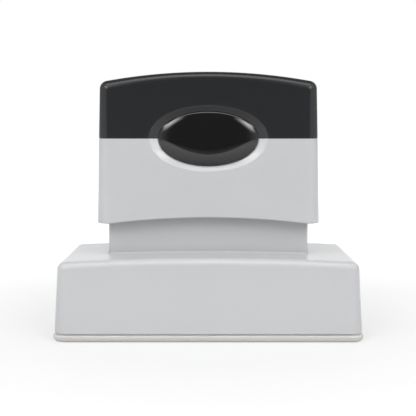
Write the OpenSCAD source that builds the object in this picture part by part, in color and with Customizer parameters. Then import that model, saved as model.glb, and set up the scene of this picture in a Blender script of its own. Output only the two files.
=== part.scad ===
// Pre-inked hand stamp. A press handle telescopes over a fixed neck, pushes an inked die block down through
// a skirted base and springs back. A cap lifts off for re-inking, and a dust cover pushes on from below.
// Millimetres, +Z up, width along X, front towards -Y. Origin: the middle of the dust cover's underside.

/* [Base skirt] */
// Outer width of the skirt at its lower edge
skirt_w = 95.2; // [88:0.1:110]
// Outer depth of the skirt at its lower edge
skirt_d = 49.4; // [46:0.1:58]
// Height from the skirt's lower edge to the crest of its roof
skirt_h = 23.2; // [21:0.1:28]
// Thickness of the skirt's side walls
skirt_wall = 1.8; // [1.4:0.1:2.4]
// Thickness of the roof at its crest
roof_t = 2.6; // [2.2:0.1:3.2]
// Draft of the skirt's walls, in degrees
skirt_draft = 3; // [1:0.25:4]
// Plan radius of the skirt's upright corners at the lower edge
skirt_corner_r = 3.2; // [2.6:0.1:5]
// Radius of the rounded edge round the roof
skirt_edge_r = 2.7; // [1.5:0.1:3]
// Radius of the roof's crown, across the width
roof_crown_r = 900; // [600:10:1600]
// Height of the lip round the neck's hole, above the roof
hole_lip_h = 0.4; // [0.1:0.05:0.6]
// Width of that lip
hole_lip_w = 0.5; // [0.3:0.1:1]
// Thickness of the ribs inside the skirt and the handle shell
rib_t = 1.4; // [1:0.1:2]
// Distance of the skirt's ribs from the ends of the die block
rib_inset = 14; // [8:0.5:20]

/* [Handle] */
// Outer width of the handle at its lower edge
handle_w = 70.8; // [66:0.2:78]
// Outer depth of the handle at its lower edge
handle_d = 24; // [22.4:0.2:28]
// Clear height from the roof's crest to the handle's lower edge
handle_lift = 9.6; // [8:0.1:14]
// Height of the shell, from its lower edge to the seam
shell_h = 26.9; // [25:0.1:32]
// Height of the cap, from the seam to its crest
cap_h = 21; // [18:0.1:26]
// Thickness of the shell's walls
shell_wall = 2; // [1.7:0.1:2.4]
// Thickness of the cap's walls
cap_wall = 1.8; // [1.6:0.1:2.2]
// Thickness of the deck that closes the shell under the cap
deck_t = 2; // [1.6:0.1:3]
// Draft of the handle's walls, in degrees
handle_draft = 1.4; // [0.5:0.1:2]
// Plan radius of the handle's upright corners at the lower edge
handle_corner_r = 3.6; // [3.2:0.1:5]
// Radius of the cap's crown, across the width
cap_crown_r = 184; // [140:2:400]
// Radius of the cap's rounded front and back top edges
cap_edge_r = 2.6; // [1.5:0.1:3]
// Radius of the cap's rounded end edges
cap_end_r = 2.1; // [1.2:0.1:3]
// Rise of the arch in the shell's lower edge
arch_rise = 1.95; // [0.5:0.05:3]
// Span of that arch
arch_span = 62; // [40:1:63]
// Height of the collar on the deck that carries the cap
collar_h = 4.5; // [3:0.1:6]
// Thickness of that collar
collar_t = 1.4; // [1:0.1:1.8]

/* [Neck] */
// Gap between the neck's ends and the shell's lower edge
neck_gap_w = 1.4; // [1.2:0.1:2.4]
// Gap between the neck's faces and the shell's lower edge
neck_gap_d = 2.5; // [1.8:0.1:3]
// Thickness of the neck's walls
neck_wall = 1.5; // [1.2:0.1:1.8]
// Plan radius of the neck's upright corners
neck_corner_r = 1; // [0.6:0.1:1.4]
// How far the flange that holds the neck under the roof stands out
flange_out = 3; // [2.4:0.1:3.6]
// Thickness of that flange
flange_t = 1.6; // [1.2:0.1:2]
// Thickness of the hooks that clip the flange to the roof
hook_t = 1.5; // [1:0.1:2]
// Width of those hooks
hook_w = 6; // [4:0.5:10]
// How far a hook reaches under the flange
hook_in = 1; // [0.6:0.1:1.2]

/* [Press action] */
// Travel of the handle from rest to the print
press_travel = 5.5; // [4:0.1:6.5]
// How far the die passes the skirt's lower edge at full travel
die_reach = 0.3; // [0.1:0.1:0.6]
// Running clearance of the sliding pieces
run_gap = 0.3; // [0.2:0.05:0.4]
// Gap left between two stop faces
stop_gap = 0.1; // [0.05:0.05:0.3]
// Clearance of the pieces that push together
fit_gap = 0.15; // [0.1:0.05:0.25]
// Room left over the neck at full travel
neck_room = 0.5; // [0.3:0.1:1]
// Thickness of the plunger's wings, which take the springs
wing_t = 1.5; // [1.2:0.1:2]
// How far the plunger's snap beads overhang the deck
snap_out = 0.8; // [0.5:0.1:1.2]
// Height of those beads
snap_h = 1.8; // [1.2:0.1:2.4]

/* [Return springs] */
// Outer diameter of a spring
spring_od = 8.6; // [7.6:0.1:9]
// Diameter of the spring wire
spring_wire = 0.9; // [0.7:0.05:1.1]
// Turns of a spring, with one closed turn at each end
spring_turns = 9; // [6:1:12]
// Gap between the closed turns
closed_gap = 0.5; // [0.45:0.05:0.8]
// Gap between a spring and the neck's end wall
spring_gap = 0.8; // [0.5:0.1:1.2]
// Height of the lower spring seat above the roof's crest
shelf_rise = 2.5; // [2:0.1:5]
// Thickness of the shelves that carry the springs
shelf_t = 2; // [1.5:0.1:2.5]
// Height of the pegs that centre the springs
peg_h = 4; // [2:0.1:5]
// Gap between a peg and its spring
peg_gap = 0.4; // [0.3:0.05:0.6]

/* [Die block] */
// Gap between the die block and the skirt's walls at the ceiling
block_gap = 2; // [1.6:0.1:3]
// Plan radius of the die block's corners
block_r = 3; // [2.4:0.1:4]
// Thickness of the die frame's walls
frame_wall = 1.5; // [1.2:0.1:2]
// Thickness of the holder's walls
holder_wall = 1.5; // [1.2:0.1:2]
// Thickness of the holder's plate
plate_t = 1.8; // [1.4:0.1:2.4]
// Height of the boss on the plate, which stops under the neck's flange
boss_h = 2; // [1.8:0.1:2.4]
// Width of the land on which the boss meets the flange
stop_land = 2; // [1.2:0.1:2.4]
// Thickness of the foam die
foam_t = 6; // [5:0.1:6.6]
// How far the foam stands below the die frame
foam_proud = 1.2; // [0.8:0.1:1.6]
// Thickness of the die frame's lip
lip_t = 1.2; // [1:0.1:1.6]
// How far the lip covers the edge of the foam
lip_in = 1.8; // [1.2:0.1:2.4]

/* [Ink feed] */
// Thickness of the walls round the ink wells
well_wall = 1.5; // [1.2:0.1:2]
// Thickness of the floor of the ink wells
well_floor = 2; // [1.5:0.1:3]
// Space between a spring and the plunger's stem
stem_gap = 3.6; // [3:0.1:5]
// Bore of the ports from the wells to the pad
port_d = 4; // [3:0.1:5]
// Wall of the spout round a port
spout_wall = 1.4; // [1:0.1:1.8]
// Section diameter of the ring that seals a spout
seal_d = 1.2; // [1:0.1:1.6]
// Height of a wick above the floor of its well
wick_h = 3; // [1:0.1:6]
// Clearance round the seals, the spouts and the wicks
feed_gap = 0.05; // [0.03:0.01:0.1]

/* [Dust cover] */
// How far the cover's rim stands out from the skirt
rim_out = 0.4; // [0.2:0.1:1.5]
// Height of the cover's rim
rim_h = 2.1; // [1.8:0.1:2.6]
// Radius of the rounded lower edge of the rim
rim_round = 1.6; // [0.8:0.1:1.7]
// Height of the shadow groove between the rim and the skirt
rim_groove = 0.4; // [0.2:0.1:0.8]
// How far that groove goes in under the skirt
groove_in = 0.5; // [0.3:0.1:1]
// Thickness of the cover's floor
cover_floor = 1.1; // [0.8:0.1:1.5]
// Height of the locating ring above the skirt's lower edge
ring_rise = 3.5; // [2.6:0.1:3.8]
// Thickness of the locating ring
ring_wall = 1.2; // [1:0.1:1.3]
// Gap between the locating ring's top and the skirt's wall
ring_gap = 0.25; // [0.2:0.05:0.35]
// Length of the beads that hold the cover on
bead_l = 14; // [8:1:30]
// Radius of those beads
bead_r = 0.6; // [0.4:0.1:0.9]
// How far the beads stand out from the ring
bead_out = 0.15; // [0.1:0.05:0.2]

/* [Badge] */
// Width of the oval badge
badge_w = 31.6; // [26:0.2:34]
// Height of the oval badge
badge_h = 17; // [14:0.2:19]
// How many times as wide the dished surround is at the handle's face
flare_grow = 1.2; // [1.1:0.01:1.25]
// Depth of the dished surround
flare_depth = 1; // [0.6:0.1:1.1]
// How much thinner than the cap's wall the badge's tongue is
tongue_in = 0.2; // [0.1:0.1:0.4]
// Room behind the tongue in the shell's pocket
pocket_gap = 0.3; // [0.2:0.1:0.5]
// Wall behind that pocket
pocket_web = 1.2; // [1:0.1:1.5]
// Thickness of the label under the badge's lens
label_t = 0.2; // [0.15:0.05:0.4]
// Margin of the lens round its label
label_in = 0.3; // [0.2:0.1:0.8]
// Upright edge of the lens
lens_edge = 0.2; // [0.2:0.05:0.6]
// Height of the lens's dome over its edge
lens_dome = 1.1; // [0.6:0.1:1.6]

/* [Hidden] */

$fn = 64;
crown_fn = 256;
// Overcut of cuts that go right through
over = 1;
// Share of its radius at which a fillet's middle lies from its walls, so that the arc runs just past them
ease = 0.999;
// Least plan radius of an inner corner
least_r = 0.3;
grey = "#c6c7c9";
black = "#26272a";
pale = "#d2cfc9";

// Levels, from the table up
skirt_z = rim_h + rim_groove;
roof_z = skirt_z + skirt_h;
ceiling_z = roof_z - roof_t;
flange_z = ceiling_z - flange_t;
boss_z = flange_z - stop_gap;
plate_z = boss_z - boss_h;
pad_z = plate_z - plate_t;
die_z = skirt_z + press_travel - die_reach;
foam_z = die_z + foam_t;
frame_z = die_z + foam_proud;
lip_z = frame_z + lip_t;
ring_z = skirt_z + ring_rise;
handle_z = roof_z + handle_lift;
seam_z = handle_z + shell_h;
deck_z = seam_z - deck_t;
wing_z = deck_z - wing_t;
shelf_z = roof_z + shelf_rise;
neck_top_z = deck_z - press_travel - neck_room;
stem_top_z = seam_z + stop_gap + snap_h;

// Plan sizes of the base and the die block, from the outside in
skirt_slope = tan(skirt_draft);
mouth_w = skirt_w - 2 * skirt_wall;
mouth_d = skirt_d - 2 * skirt_wall;
cavity_h = ceiling_z - skirt_z;
cavity_w = mouth_w - 2 * cavity_h * skirt_slope;
cavity_d = mouth_d - 2 * cavity_h * skirt_slope;
cavity_r = max(skirt_corner_r - skirt_wall, cavity_h * skirt_slope + least_r);
block_w = cavity_w - 2 * block_gap;
block_d = cavity_d - 2 * block_gap;
holder_in = frame_wall + fit_gap;
holder_w = block_w - 2 * holder_in;
holder_d = block_d - 2 * holder_in;
holder_r = max(block_r - holder_in, least_r);
foam_in = holder_wall + fit_gap;
foam_w = holder_w - 2 * foam_in;
foam_d = holder_d - 2 * foam_in;
foam_r = max(holder_r - foam_in, least_r);
print_w = foam_w - 2 * lip_in;
print_d = foam_d - 2 * lip_in;
ring_in = ring_rise * skirt_slope + ring_gap;
ring_w = mouth_w - 2 * ring_in;
ring_d = mouth_d - 2 * ring_in;
ring_r = max(cavity_r - ring_in, least_r);

// Plan sizes of the handle and the neck
handle_slope = tan(handle_draft);
seam_w = handle_w - 2 * shell_h * handle_slope;
seam_d = handle_d - 2 * shell_h * handle_slope;
seam_r = handle_corner_r - shell_h * handle_slope;
collar_in = cap_wall + collar_h * handle_slope + fit_gap;
neck_w = handle_w - 2 * (shell_wall + neck_gap_w);
neck_d = handle_d - 2 * (shell_wall + neck_gap_d);
bore_w = neck_w - 2 * neck_wall;
bore_d = neck_d - 2 * neck_wall;
flange_w = neck_w + 2 * flange_out;
flange_d = neck_d + 2 * flange_out;

// Springs, plunger and ink feed
spring_x = bore_w / 2 - spring_od / 2 - spring_gap;
peg_d = spring_od - 2 * (spring_wire + peg_gap);
stem_w = 2 * (spring_x - spring_od / 2 - stem_gap);
stem_d = bore_d - 2 * run_gap;
well_w = (stem_w - 3 * well_wall) / 2;
well_d = stem_d - 2 * well_wall;
well_x = (well_w + well_wall) / 2;
spout_d = port_d + 2 * spout_wall;
seal_r = (spout_d + seal_d) / 2 + feed_gap;

// The badge's seat in the cap and the shell
tongue_t = cap_wall - tongue_in;
pocket_t = tongue_t + pocket_gap;

// A rounded rectangle about the origin
module rounded_rect(w, d, r) {
    square([w - 2 * r, d], center = true);
    square([w, d - 2 * r], center = true);
    for (x = [-1, 1], y = [-1, 1])
        translate([x * (w / 2 - r), y * (d / 2 - r)]) circle(r);
}

// An upright slab with rounded corners, from height z0 to z1
module slab(w, d, r, z0, z1) {
    translate([0, 0, z0]) linear_extrude(z1 - z0) rounded_rect(w, d, r);
}

// A square-cornered block about the origin, from height z0 to z1
module block(w, d, z0, z1) {
    translate([-w / 2, -d / 2, z0]) cube([w, d, z1 - z0]);
}

// Sweeps a half profile round a rectangle whose corners turn about (+-cx, +-cy)
module around(cx, cy) {
    for (i = [0:3]) {
        px = i % 2 == 0 ? cx : cy;
        py = i % 2 == 0 ? cy : cx;
        rotate(90 * i) translate([px, py, 0]) {
            rotate_extrude(angle = 90) children();
            rotate([90, 0, 0]) linear_extrude(2 * py) children();
        }
    }
}

// A block with drafted walls and conical corners. w, d and r are those of its foot.
module drafted_block(w, d, r, h, draft) {
    cx = w / 2 - r;
    cy = d / 2 - r;
    around(cx, cy) polygon([[0, 0], [r, 0], [r - h * tan(draft), h], [0, h]]);
    translate([-cx, -cy, 0]) cube([2 * cx, 2 * cy, h]);
}

// A drafted block that runs on below its foot, to cut a cavity that is open below
module drafted_cavity(w, d, r, h, draft) {
    grow = over * tan(draft);
    translate([0, 0, -over]) drafted_block(w + 2 * grow, d + 2 * grow, r + grow, h + over, draft);
}

// A cylinder about an axis along Y, whose crest is at height h
module crown(h, r, depth) {
    translate([0, 0, h - r]) rotate([90, 0, 0]) cylinder(h = depth, r = r, center = true, $fn = crown_fn);
}

// The sharp corner left outside a fillet of radius r about c, between the unit directions a and b
module fillet_waste(c, r, a, b) {
    reach = 2 * r;
    difference() {
        polygon([c, c + reach * a, c + reach * (a + b), c + reach * b]);
        translate(c) circle(r);
    }
}

// A drafted block with a crowned top. Its long top edges have radius edge_r and its end edges end_r.
module crowned_block(w, d, r, h, draft, crown_r, edge_r, end_r) {
    wall = [cos(draft), sin(draft)];
    up = [-sin(draft), cos(draft)];
    axis = [0, h - crown_r];
    // End fillets lie between the crown and the drafted end walls
    end_in = end_r * ease;
    end_m = w / 2 * wall[0] - end_in - axis[1] * wall[1];
    end_c = axis + end_m * wall + sqrt(pow(crown_r - end_in, 2) - pow(end_m, 2)) * up;
    end_top = (end_c - axis) / norm(end_c - axis);
    // Edge fillets lie between the crown and the drafted long walls, and turn about the crown's axis
    edge_in = edge_r * ease;
    edge_y = d / 2 - (h - edge_in) * tan(draft) - edge_in / cos(draft);
    sweep = asin((w / 2 + over) / crown_r);
    difference() {
        intersection() {
            drafted_block(w, d, r, h, draft);
            crown(h, crown_r, d + 2 * over);
        }
        for (s = [0, 1]) {
            mirror([s, 0, 0]) rotate([90, 0, 0]) linear_extrude(d + 2 * over, center = true)
                fillet_waste(end_c, end_r, end_top, wall);
            mirror([0, s, 0]) translate([0, 0, axis[1]]) rotate([-90, 0, 0]) rotate(-90 - sweep)
                rotate_extrude(angle = 2 * sweep, $fn = crown_fn)
                    fillet_waste([crown_r - edge_in, edge_y], edge_r, [1, 0], [wall[1], wall[0]]);
        }
    }
}

// An upright rib at +Y on a drafted wall. It reaches from inner out to the wall's middle, in from d / 2.
module wall_rib(inner, d, in, foot_z, slope, z0, z1) {
    function mid(z) = d / 2 - in - (z - foot_z) * slope;
    rotate([90, 0, 90]) linear_extrude(rib_t, center = true)
        polygon([[inner, z0], [mid(z0), z0], [mid(z1), z1], [inner, z1]]);
}

// Puts its children on the handle's front face, where the badge's middle meets the seam, with +Z outwards
module on_badge() {
    translate([0, -seam_d / 2, seam_z]) rotate([90 - handle_draft, 0, 0]) children();
}

// Turns a half profile about Z, in four quarters, and squashes it along Y to an oval
module oval_turn(squash) {
    for (i = [0:3])
        scale([1, squash, 1]) rotate(90 * i) rotate_extrude(angle = 90, $fn = crown_fn) children();
}

// An oval plate of the badge's size plus a margin, from depth z0 to z1
module oval(margin, z0, z1) {
    r = badge_w / 2 + margin;
    oval_turn((badge_h / 2 + margin) / r) translate([0, z0]) square([r, z1 - z0]);
}

// What the dished surround takes away, with a straight pocket on to the given depth
module dish(depth) {
    r = badge_w / 2 + fit_gap;
    lip_r = r * (1 + (flare_grow - 1) * (flare_depth + over) / flare_depth);
    floor_edge = depth > flare_depth ? [[r, -depth], [r, -flare_depth]] : [[r, -depth]];
    oval_turn((badge_h / 2 + fit_gap) / r)
        polygon(concat([[0, -depth]], floor_edge, [[lip_r, over], [0, over]]));
}

// The base: a drafted, crowned shell with a lip round the neck's hole, hooks for the neck and ribs that keep
// the die block straight
module skirt_shell() {
    hook_z = flange_z - stop_gap - hook_in;
    hook_top = ceiling_z + roof_t / 4;
    rib_z = ring_z + over;
    lip_out = fit_gap + hole_lip_w;
    color(grey) union() {
        difference() {
            union() {
                translate([0, 0, skirt_z]) crowned_block(skirt_w, skirt_d, skirt_corner_r, skirt_h, skirt_draft,
                    roof_crown_r, skirt_edge_r, skirt_edge_r);
                intersection() {
                    slab(neck_w + 2 * lip_out, neck_d + 2 * lip_out, neck_corner_r + lip_out,
                        ceiling_z + roof_t / 2, roof_z + hole_lip_h + over);
                    crown(roof_z + hole_lip_h, roof_crown_r, skirt_d);
                }
            }
            translate([0, 0, skirt_z]) drafted_cavity(mouth_w, mouth_d, cavity_r, cavity_h, skirt_draft);
            slab(neck_w + 2 * fit_gap, neck_d + 2 * fit_gap, neck_corner_r + fit_gap,
                ceiling_z - over, roof_z + over);
        }
        for (s = [0, 1]) mirror([s, 0, 0]) translate([flange_w / 2 + fit_gap, -hook_w / 2, hook_z]) {
            cube([hook_t, hook_w, hook_top - hook_z]);
            translate([-hook_in, 0, 0]) cube([hook_in + hook_t / 2, hook_w, hook_in]);
        }
        for (s = [0, 1], x = [-1, 1]) mirror([0, s, 0]) translate([x * (block_w / 2 - rib_inset), 0, 0])
            wall_rib(block_d / 2 + run_gap, skirt_d, skirt_wall / 2, skirt_z, skirt_slope, rib_z, hook_top);
    }
}

// The fixed neck: a tube with a flange under the roof and a shelf with a peg for each spring
module neck_sleeve() {
    slot_w = stem_w + 2 * run_gap;
    shelf_w = (bore_w + neck_wall - slot_w) / 2;
    color(grey) union() {
        difference() {
            union() {
                slab(neck_w, neck_d, neck_corner_r, flange_z, neck_top_z);
                slab(flange_w, flange_d, neck_corner_r + flange_out / 2, flange_z, ceiling_z);
            }
            block(bore_w, bore_d, flange_z - over, neck_top_z + over);
        }
        for (s = [-1, 1]) {
            translate([s * (slot_w + shelf_w) / 2, 0, 0])
                block(shelf_w, bore_d + neck_wall, shelf_z - shelf_t, shelf_z);
            translate([s * spring_x, 0, shelf_z - shelf_t / 2]) cylinder(h = peg_h + shelf_t / 2, d = peg_d);
        }
    }
}

// A return spring: one wire wound between the shelf and the plunger's wing
spring_rings = 8;
spring_sides = 6;
spring_r = (spring_od - spring_wire) / 2;
closed_pitch = spring_wire + closed_gap;
spring_rise = wing_z - shelf_z - spring_wire - 2 * feed_gap;
open_pitch = (spring_rise - 2 * closed_pitch) / (spring_turns - 2);
spring_n = spring_turns * spring_rings;

// Height of the wire's middle after u turns
function spring_lift(u) =
    u < 1 ? closed_pitch * u :
    u > spring_turns - 1 ? spring_rise - closed_pitch * (spring_turns - u) :
    closed_pitch + open_pitch * (u - 1);
// Middle of the wire at ring i
function spring_point(i) =
    let (a = 360 * i / spring_rings)
    [spring_r * cos(a), spring_r * sin(a), spring_lift(i / spring_rings)];
spring_path = [for (i = [0:spring_n]) spring_point(i)];
spring_least_gap = min([
    for (i = [0:spring_n - spring_rings / 2], j = [i + spring_rings / 2:spring_n])
        norm(spring_path[i] - spring_path[j])
]) - spring_wire;
echo(spring_least_gap = spring_least_gap);

module return_spring(x) {
    skin = [
        for (i = [0:spring_n], k = [0:spring_sides - 1])
            let (a = 360 * i / spring_rings, b = 360 * k / spring_sides)
            spring_path[i] + spring_wire / 2 * [cos(b) * cos(a), cos(b) * sin(a), sin(b)]
    ];
    wall = [
        for (i = [0:spring_n - 1], k = [0:spring_sides - 1])
            let (p = i * spring_sides + k, q = i * spring_sides + (k + 1) % spring_sides)
            each [[p, q, q + spring_sides], [p, q + spring_sides, p + spring_sides]]
    ];
    last = spring_n * spring_sides;
    ends = [for (k = [1:spring_sides - 2]) each [[0, k + 1, k], [last, last + k, last + k + 1]]];
    color("silver") translate([x, 0, shelf_z + feed_gap + spring_wire / 2])
        polyhedron(points = skin, faces = concat(wall, ends), convexity = 10);
}
module return_spring_left() { return_spring(-spring_x); }
module return_spring_right() { return_spring(spring_x); }

// The grip: a drafted shell with an arched lower edge, guides for the neck, a deck, and a collar for the cap
module handle_shell() {
    inner_w = handle_w - 2 * shell_wall;
    inner_d = handle_d - 2 * shell_wall;
    inner_h = shell_h - deck_t;
    inner_r = max(handle_corner_r - shell_wall, inner_h * handle_slope + least_r);
    arch_r = (pow(arch_span / 2, 2) + pow(arch_rise, 2)) / (2 * arch_rise);
    collar_w = seam_w - 2 * collar_in;
    collar_d = seam_d - 2 * collar_in;
    guide_z = handle_z + arch_rise + over;
    guide_top = deck_z + deck_t / 4;
    color(grey) difference() {
        union() {
            translate([0, 0, handle_z]) difference() {
                drafted_block(handle_w, handle_d, handle_corner_r, shell_h, handle_draft);
                drafted_cavity(inner_w, inner_d, inner_r, inner_h, handle_draft);
            }
            difference() {
                slab(collar_w, collar_d, seam_r, seam_z - deck_t / 2, seam_z + collar_h);
                block(collar_w - 2 * collar_t, collar_d - 2 * collar_t, seam_z, seam_z + collar_h + over);
            }
            for (s = [0, 1]) {
                for (x = [-1, 1]) mirror([0, s, 0]) translate([x * (stem_w / 2 + stem_gap), 0, 0])
                    wall_rib(neck_d / 2 + run_gap, handle_d, shell_wall / 2, handle_z, handle_slope,
                        guide_z, guide_top);
                mirror([s, 0, 0]) rotate(-90)
                    wall_rib(neck_w / 2 + run_gap, handle_w, shell_wall / 2, handle_z, handle_slope,
                        guide_z, guide_top);
            }
            intersection() {
                on_badge() oval(pocket_web, -pocket_t - pocket_web, -shell_wall / 2);
                block(handle_w, handle_d, handle_z, guide_top);
            }
        }
        crown(handle_z + arch_rise, arch_r, handle_d + 2 * over);
        block(stem_w + 2 * fit_gap, stem_d + 2 * fit_gap, deck_z - over, seam_z + over);
        on_badge() dish(pocket_t);
    }
}

// The plunger: a stem with two ink wells, spouts at its foot, wings for the springs and beads over the deck
module plunger() {
    spout_z = pad_z + stop_gap;
    snap_z = seam_z + stop_gap;
    color("#8f9296") difference() {
        union() {
            block(stem_w, stem_d, boss_z, stem_top_z);
            block(bore_w - 2 * run_gap, stem_d, wing_z, deck_z);
            for (s = [0, 1]) mirror([s, 0, 0]) {
                translate([well_x, 0, spout_z]) cylinder(h = boss_z + well_floor / 2 - spout_z, d = spout_d);
                translate([spring_x, 0, wing_z - peg_h]) cylinder(h = peg_h + wing_t / 2, d = peg_d);
                rotate([90, 0, 0]) linear_extrude(stem_d, center = true) polygon([
                    [stem_w / 2 - well_wall / 2, snap_z], [stem_w / 2 + snap_out, snap_z],
                    [stem_w / 2 - well_wall / 2, stem_top_z]
                ]);
            }
        }
        for (s = [-1, 1]) translate([s * well_x, 0, 0]) {
            block(well_w, well_d, boss_z + well_floor, stem_top_z + over);
            translate([0, 0, spout_z - over])
                cylinder(h = boss_z + well_floor - spout_z + 2 * over, d = port_d);
        }
    }
}

// The die holder: a tray over the pad, with a stop boss and a recessed hole for each spout
module die_holder() {
    recess = seal_d + 2 * feed_gap;
    color("#34363a") difference() {
        union() {
            slab(holder_w, holder_d, holder_r, lip_z + stop_gap, plate_z);
            slab(bore_w + 2 * stop_land, bore_d + 2 * stop_land, neck_corner_r, pad_z + plate_t / 2, boss_z);
        }
        slab(holder_w - 2 * holder_wall, holder_d - 2 * holder_wall, foam_r + fit_gap, lip_z - over, pad_z);
        for (s = [-1, 1]) translate([s * well_x, 0, 0]) {
            translate([0, 0, pad_z - over])
                cylinder(h = boss_z - pad_z + 2 * over, d = spout_d + 2 * feed_gap);
            translate([0, 0, boss_z - recess]) cylinder(h = recess + over, d = spout_d + 2 * recess);
        }
    }
}

module ink_pad() {
    color("#3a3d44") slab(foam_w, foam_d, foam_r, foam_z, pad_z);
}

// The die: foam with a stepped edge that the frame's lip holds
module foam_die() {
    color("#5b5f68") union() {
        slab(foam_w, foam_d, foam_r, lip_z, foam_z);
        slab(print_w, print_d, foam_r, die_z, lip_z + over);
    }
}

// The frame that clips over the holder and keeps the foam in by its lip
module die_frame() {
    color("#2b2d31") difference() {
        slab(block_w, block_d, block_r, frame_z, pad_z);
        slab(holder_w + 2 * fit_gap, holder_d + 2 * fit_gap, holder_r + fit_gap, lip_z, pad_z + over);
        slab(print_w + 2 * fit_gap, print_d + 2 * fit_gap, foam_r + fit_gap, frame_z - over, lip_z + over);
    }
}

// A rubber ring in the holder's recess, round a spout
module port_seal(x) {
    color("#1d1e20") translate([x, 0, boss_z - seal_d / 2 - feed_gap])
        rotate_extrude() translate([seal_r, 0]) circle(d = seal_d);
}
module port_seal_left() { port_seal(-well_x); }
module port_seal_right() { port_seal(well_x); }

// A felt wick that carries ink through a port, from the well to the pad
module ink_wick(x) {
    color("#6c6f75") translate([x, 0, pad_z])
        cylinder(h = boss_z + well_floor + wick_h - pad_z, d = port_d - 2 * feed_gap);
}
module ink_wick_left() { ink_wick(-well_x); }
module ink_wick_right() { ink_wick(well_x); }

// The cap: a crowned shell over the deck, with a tongue that carries the badge down into the shell's pocket
module handle_cap() {
    inner_w = seam_w - 2 * cap_wall;
    inner_d = seam_d - 2 * cap_wall;
    inner_h = cap_h - cap_wall;
    inner_r = max(seam_r - cap_wall, inner_h * handle_slope + least_r);
    color(black) difference() {
        union() {
            translate([0, 0, seam_z]) difference() {
                crowned_block(seam_w, seam_d, seam_r, cap_h, handle_draft,
                    cap_crown_r, cap_edge_r, cap_end_r);
                intersection() {
                    drafted_cavity(inner_w, inner_d, inner_r, inner_h, handle_draft);
                    crown(inner_h, cap_crown_r - cap_wall, seam_d);
                }
            }
            intersection() {
                on_badge() oval(0, -tongue_t, -flare_depth / 2);
                block(seam_w, seam_d, seam_z - badge_h, seam_z + cap_wall);
            }
        }
        on_badge() dish(flare_depth);
    }
}

module badge_label() {
    color("#101114") on_badge() oval(-label_in, -flare_depth, -flare_depth + label_t);
}

// The clear lens over the label: a shallow dome with an upright edge
module badge_lens() {
    r = badge_w / 2;
    dome_r = (pow(r, 2) + pow(lens_dome, 2)) / (2 * lens_dome);
    lens_h = lens_edge + lens_dome;
    color("#1b1c20") on_badge() translate([0, 0, -flare_depth + label_t]) oval_turn(badge_h / badge_w)
        intersection() {
            square([r, lens_h]);
            translate([0, lens_h - dome_r]) circle(dome_r, $fn = crown_fn);
        }
}

// The dust cover: a tray with a rounded rim, a seat for the skirt's edge and a locating ring
module dust_cover() {
    rim_r = skirt_corner_r + rim_out;
    cx = skirt_w / 2 - skirt_corner_r;
    cy = skirt_d / 2 - skirt_corner_r;
    flat_r = rim_r - rim_round;
    color(pale) difference() {
        union() {
            around(cx, cy) {
                square([flat_r, rim_h]);
                translate([flat_r, rim_round]) square([rim_round, rim_h - rim_round]);
                intersection() {
                    translate([flat_r, rim_round]) circle(rim_round);
                    translate([flat_r, 0]) square(rim_round);
                }
            }
            translate([-cx, -cy, 0]) cube([2 * cx, 2 * cy, rim_h]);
            slab(skirt_w - 2 * groove_in, skirt_d - 2 * groove_in, skirt_corner_r - groove_in,
                rim_h / 2, skirt_z);
            slab(ring_w, ring_d, ring_r, rim_h / 2, ring_z);
            for (s = [-1, 1]) translate([0, s * (ring_d / 2 - bead_r + bead_out), skirt_z + ring_rise / 2])
                rotate([0, 90, 0]) cylinder(h = bead_l, r = bead_r, center = true);
        }
        slab(ring_w - 2 * ring_wall, ring_d - 2 * ring_wall, least_r + ring_r, cover_floor, ring_z + over);
    }
}

skirt_shell();
neck_sleeve();
return_spring_left();
return_spring_right();
handle_shell();
plunger();
die_holder();
ink_pad();
foam_die();
die_frame();
port_seal_left();
port_seal_right();
ink_wick_left();
ink_wick_right();
handle_cap();
badge_label();
badge_lens();
dust_cover();
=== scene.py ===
"""Looks of a pre-inked hand stamp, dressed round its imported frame.

Sizes are in millimetres and turn to metres when a mesh is made. +Z is up and the badge faces -Y.
"""

import logging
import math
from collections.abc import Callable, Sequence
from dataclasses import dataclass, replace
from enum import Enum
from itertools import pairwise, product

import bmesh
import bpy
import numpy as np
from bmesh.types import BMVert
from bpy.types import ID, Material, Node, NodeSocket, NodeTree, Object
from mathutils import Matrix, Vector


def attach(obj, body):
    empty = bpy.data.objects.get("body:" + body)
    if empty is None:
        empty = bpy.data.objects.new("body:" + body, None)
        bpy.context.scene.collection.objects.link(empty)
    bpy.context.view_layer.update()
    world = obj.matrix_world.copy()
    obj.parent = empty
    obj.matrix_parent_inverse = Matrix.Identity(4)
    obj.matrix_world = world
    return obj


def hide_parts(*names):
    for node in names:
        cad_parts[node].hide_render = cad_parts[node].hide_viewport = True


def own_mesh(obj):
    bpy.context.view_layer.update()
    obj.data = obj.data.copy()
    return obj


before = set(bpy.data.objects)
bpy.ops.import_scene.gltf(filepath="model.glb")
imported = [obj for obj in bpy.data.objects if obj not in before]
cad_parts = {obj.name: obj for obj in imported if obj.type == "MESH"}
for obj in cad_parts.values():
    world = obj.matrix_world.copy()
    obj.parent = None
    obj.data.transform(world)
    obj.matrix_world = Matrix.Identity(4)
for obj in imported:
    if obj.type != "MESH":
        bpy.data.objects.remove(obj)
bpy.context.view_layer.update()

MM = 0.001
# Axes along which a box is mirrored, and the two sides of what comes in pairs
X, Y = 0, 1
SIDES = ((-1, "left"), (1, "right"))
# Height of the seam between grip and cap, and the draft of both in degrees
SEAM = 62.2
HANDLE_DRAFT = 1.4
# How far the inner edges of a moulding are broken
BREAK = 0.2
# Faces that meet at more than this angle keep a sharp edge
SHARP = math.radians(38)
# Inputs and output of a mix node that mixes colours
MIX_FROM, MIX_TO, MIXED = 6, 7, 2
Row = list[BMVert]
Point = tuple[float, float, float]
Pair = tuple[float, float]
log = logging.getLogger("stamp")


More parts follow.
